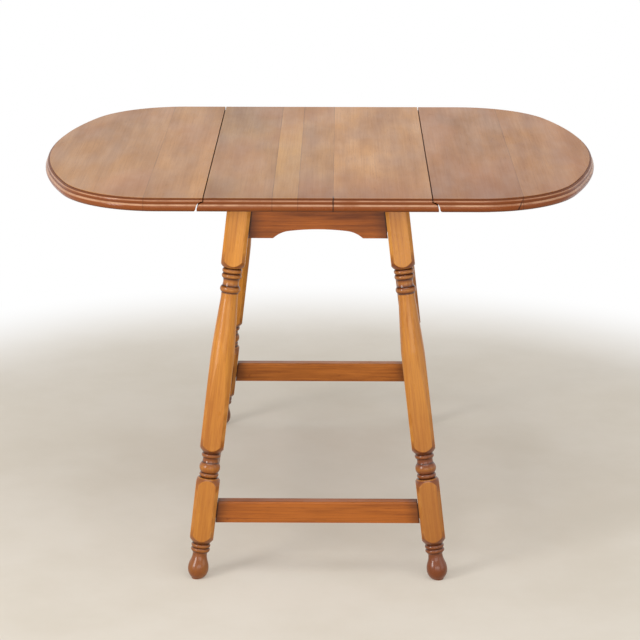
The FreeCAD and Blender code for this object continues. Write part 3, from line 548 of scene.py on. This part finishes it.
def rail_material(name, tones, direction, offset):
    """A red-brown rail, darker where it enters the legs."""
    material, tree, shader = new_material(name)
    grain_place, place = board_place(tree, direction, offset)
    stain = stained(tree, grain_place, place, tones, RAIL_GRAIN)
    axes = along_axes(tree, place)
    axis, leg_middle = ("X", LEG_TOP.x) if direction == ALONG_X else ("Y", LEG_TOP.y)
    face_at_floor = leg_middle - LEG_HALF + TOP_LOW * LEG_SPLAY
    slant = with_share(tree, -face_at_floor, axes["Z"], LEG_SPLAY)
    past_face = sums(tree, "ADD", sums(tree, "ABSOLUTE", axes[axis]), slant)
    color = stain["Color"]
    for levels, shares in RAIL_END_SHADES:
        color = blend(tree, between(tree, past_face, levels, shares), color, QUIRK_STAIN)
    finish_wood(tree, shader, color, stain["Roughness"], stain["Height"], VARNISHED_RELIEF, RAIL_VARNISH)
    return material


def bare_wood_material(name, tones, offset):
    """Unvarnished wood for the pieces under the top."""
    material, tree, shader = new_material(name)
    stain = stained(tree, *board_place(tree, ALONG_X, offset), tones, BARE_GRAIN)
    finish_wood(tree, shader, stain["Color"], stain["Roughness"], stain["Height"], BARE_RELIEF, NO_VARNISH)
    return material


def hinge_material():
    """Dull steel with browned patches and fine brush marks."""
    material, tree, shader = new_material("hinge_browned_steel")
    place = object_place(tree)
    browned = patches(tree, place, **STEEL_PATCHES)
    tree.links.new(blend(tree, browned, *STEEL_TONES), shader.inputs["Base Color"])
    rough = with_share(tree, STEEL_ROUGHNESS, browned, BROWNED_ROUGHNESS)
    tree.links.new(rough, shader.inputs["Roughness"])
    shader.inputs["Metallic"].default_value = 1.0
    brushed = noise(tree, stretched(tree, place, *BRUSH_WAVES))
    raise_surface(tree, shader, brushed, BRUSH_RELIEF, BRUSH_DEPTH)
    return material


# Dressing of the pieces

# Sides of a board, and how far a crack leans sideways per height
LEFT, RIGHT = 0, 1
UPRIGHT, LEANING = 0.0, 0.4
# Boards of the top: pale and dark tone, share of the darkening towards the front edge and how far in it
# reaches, shift of the grain, glued sides, and cracked sides with the lean of the crack
TOP_BOARDS = {
    "left_leaf_outer_board": (
        (paint(189, 134, 77), paint(155, 104, 55)), (0.08, 0.24), (0.13, 0.40, 0.05), (RIGHT,), {}),
    "left_leaf_inner_board": (
        (paint(198, 141, 82), paint(162, 109, 58)), (0.14, 0.16), (0.57, 0.12, 0.09), (LEFT,), {}),
    "centre_board_1": (
        (paint(182, 133, 77), paint(148, 101, 55)), (0.30, 0.18), (0.91, 0.71, 0.02), (RIGHT,), {}),
    "centre_board_2": (
        (paint(203, 149, 82), paint(169, 117, 60)), (0.40, 0.26), (0.33, 0.93, 0.07),
        (LEFT, RIGHT), {}),
    "centre_board_3": (
        (paint(195, 140, 80), paint(159, 108, 58)), (0.52, 0.26), (0.74, 0.25, 0.03),
        (LEFT, RIGHT), {RIGHT: UPRIGHT}),
    "centre_board_4": (
        (paint(207, 148, 86), paint(169, 114, 62)), (0.52, 0.26), (0.22, 0.58, 0.08),
        (LEFT,), {LEFT: UPRIGHT}),
    "right_leaf_inner_board": (
        (paint(187, 129, 72), paint(150, 98, 49)), (0.45, 0.60), (0.66, 0.81, 0.04),
        (RIGHT,), {RIGHT: LEANING}),
    "right_leaf_outer_board": (
        (paint(190, 130, 66), paint(154, 97, 43)), (0.38, 0.55), (0.48, 0.36, 0.06),
        (LEFT,), {LEFT: LEANING}),
}
# Stains of the rails: tones, way and shift of the grain, and the rails that have them
RAIL_STAINS = {
    "apron_long_stain": (APRON_TONES, ALONG_X, (0.2, 0.5, 0.1), ("apron_front", "apron_back")),
    "apron_side_stain": (APRON_TONES, ALONG_Y, (0.6, 0.3, 0.2), ("apron_left", "apron_right")),
    "stretcher_front_stain": (STRETCHER_TONES, ALONG_X, (0.8, 0.1, 0.4), ("stretcher_front",)),
    # The back stretcher's stain is painted lighter, against the shade under the top
    "stretcher_back_stain_painted_lighter": (FAR_STRETCHER_LIGHTENED_TONES, ALONG_X, (0.3, 0.9, 0.7), ("stretcher_back",)),
    "stretcher_side_stain": (
        STRETCHER_TONES, ALONG_Y, (0.1, 0.7, 0.5), ("stretcher_left", "stretcher_right")),
}
INNER_SHIFT = (0.4, 0.2, 0.6)
SLIDE_SHIFT = (0.9, 0.6, 0.3)


def edges_of(board):
    """The two upright sides of a board of the top, left and right."""
    low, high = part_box(board)
    return low[0], high[0]


def dress(name, material):
    """One material on the whole of a piece."""
    mesh = nodes[name].data
    mesh.materials.clear()
    mesh.materials.append(material)


def dress_table():
    """Every piece in its wood or metal."""
    for name, (tones, front_darkening, offset, glued, cracked) in TOP_BOARDS.items():
        sides = edges_of(name)
        seams = [sides[side] for side in glued]
        cracks = [(sides[side], lean) for side, lean in cracked.items()]
        dress(name, top_board_material(f"stain_{name}", tones, front_darkening, offset, seams, cracks))
    for stain_name, (tones, direction, offset, rails) in RAIL_STAINS.items():
        stain = rail_material(stain_name, tones, direction, offset)
        for name in rails:
            dress(name, stain)
    legs = leg_material()
    inner = bare_wood_material("inner_bare_wood", INNER_TONES, INNER_SHIFT)
    slide = bare_wood_material("slide_bare_wood", SLIDE_TONES, SLIDE_SHIFT)
    steel = hinge_material()
    for name in nodes:
        if name.startswith("leg_"):
            dress(name, legs)
        elif "_hinge_" in name:
            dress(name, steel)
        elif name.endswith(("_slide", "_slide_stop")):
            dress(name, slide)
        elif name.startswith(("corner_brace_", "slide_guide_")) or name.endswith("_bearer"):
            dress(name, inner)


# Floor, light and camera

# Half the side of the floor in metres, its tones, and the patches between them
FLOOR_HALF = 14.0
FLOOR_TONES = (paint(225, 217, 204), paint(218, 209, 194))
FLOOR_PATCHES = {"scale": 2.6, "detail": 5.0, "rough": 0.62, "levels": (0.3, 0.7)}
FLOOR_ROUGHNESS = 0.85
# How far from the table the floor starts to fade, and where it is white, in metres
FLOOR_FADE = (0.75, 1.55)
# Share of the floor's own colour that its shadows keep
FLOOR_LIFT = 0.35
# Strength of the white surround as a light
WORLD_LIGHT = 0.56
# Soft boxes: name, place, point they face, width, height and power
SOFT_BOXES = (
    ("key_left", Vector((-3.0, -2.6, 1.5)), Vector((0, 0, 0.4)), 1.2, 1.8, 84),
    ("front_panel", Vector((0.4, -3.6, 0.8)), Vector((0, 0, 0.25)), 2.8, 1.0, 24),
    ("top_panel", Vector((0.0, -1.5, 3.0)), Vector((0, -0.3, 0.6)), 3.0, 1.2, 26),
    ("fill_right", Vector((3.0, -1.6, 1.2)), Vector((0, 0, 0.4)), 2.0, 2.0, 14),
)


def seen_rays(tree):
    """One for the rays by which a background is seen, straight, in a reflection or through glass."""
    path = add(tree, "ShaderNodeLightPath")
    kinds = ("Camera", "Glossy", "Transmission")
    return strongest(tree, *(path.outputs[f"Is {kind} Ray"] for kind in kinds))


def make_floor():
    """A pale floor that fades to white away from the table and keeps its shadow."""
    shape = bmesh.new()
    bmesh.ops.create_grid(shape, x_segments=1, y_segments=1, size=FLOOR_HALF)
    mesh = bpy.data.meshes.new("floor")
    shape.to_mesh(mesh)
    shape.free()
    floor = bpy.data.objects.new("floor", mesh)
    bpy.context.scene.collection.objects.link(floor)
    material, tree, shader = new_material("pale_floor")
    place = object_place(tree)
    color = blend(tree, patches(tree, place, **FLOOR_PATCHES), *FLOOR_TONES)
    tree.links.new(color, shader.inputs["Base Color"])
    shader.inputs["Roughness"].default_value = FLOOR_ROUGHNESS
    fade = between(tree, vectors(tree, "LENGTH", place), FLOOR_FADE)
    seen = times(tree, sums(tree, "MAXIMUM", fade, FLOOR_LIFT), seen_rays(tree))
    glow = add(tree, "ShaderNodeEmission", {"Color": blend(tree, fade, color, WHITE), "Strength": 1.0})
    mixed = add(tree, "ShaderNodeMixShader", {
        "Fac": seen, FIRST_SHADER: shader.outputs["BSDF"], SECOND_SHADER: glow.outputs["Emission"],
    })
    tree.links.new(mixed.outputs["Shader"], tree.nodes["Material Output"].inputs["Surface"])
    mesh.materials.append(material)


def make_world():
    """White all round for the eye and for reflections, and a softer white for light."""
    world = bpy.data.worlds.new("studio")
    bpy.context.scene.world = world
    world.use_nodes = True
    tree = world.node_tree
    tree.nodes.clear()
    strength = with_share(tree, WORLD_LIGHT, seen_rays(tree), 1.0 - WORLD_LIGHT)
    shade = add(tree, "ShaderNodeBackground", {"Color": WHITE, "Strength": strength})
    add(tree, "ShaderNodeOutputWorld", {"Surface": shade.outputs["Background"]})


def make_lights():
    """Soft boxes that face the table."""
    for name, place, target, width, height, power in SOFT_BOXES:
        lamp = bpy.data.lights.new(name, "AREA")
        lamp.shape = "RECTANGLE"
        lamp.size = width
        lamp.size_y = height
        lamp.energy = power
        holder = bpy.data.objects.new(name, lamp)
        holder.location = place
        holder.rotation_euler = (target - place).to_track_quat("-Z", "Y").to_euler()
        bpy.context.scene.collection.objects.link(holder)


def make_camera():
    """The camera of the photograph, which looks straight down before it is tilted."""
    camera = bpy.data.cameras.new("camera")
    camera.sensor_width = SENSOR
    camera.lens = SENSOR * CAMERA_FOCUS_PIXELS / PHOTO_PIXELS
    holder = bpy.data.objects.new("camera", camera)
    turn = Matrix.Rotation(math.radians(CAMERA_YAW), 4, "Z")
    tilt = Matrix.Rotation(math.radians(RIGHT_ANGLE - CAMERA_PITCH), 4, "X")
    roll = Matrix.Rotation(math.radians(CAMERA_ROLL), 4, "Z")
    holder.matrix_world = Matrix.Translation(CAMERA_PLACE) @ turn @ tilt @ roll
    bpy.context.scene.collection.objects.link(holder)
    bpy.context.scene.camera = holder


dress_table()
make_floor()
make_world()
make_lights()
make_camera()
bpy.context.scene.view_settings.view_transform = "Standard"
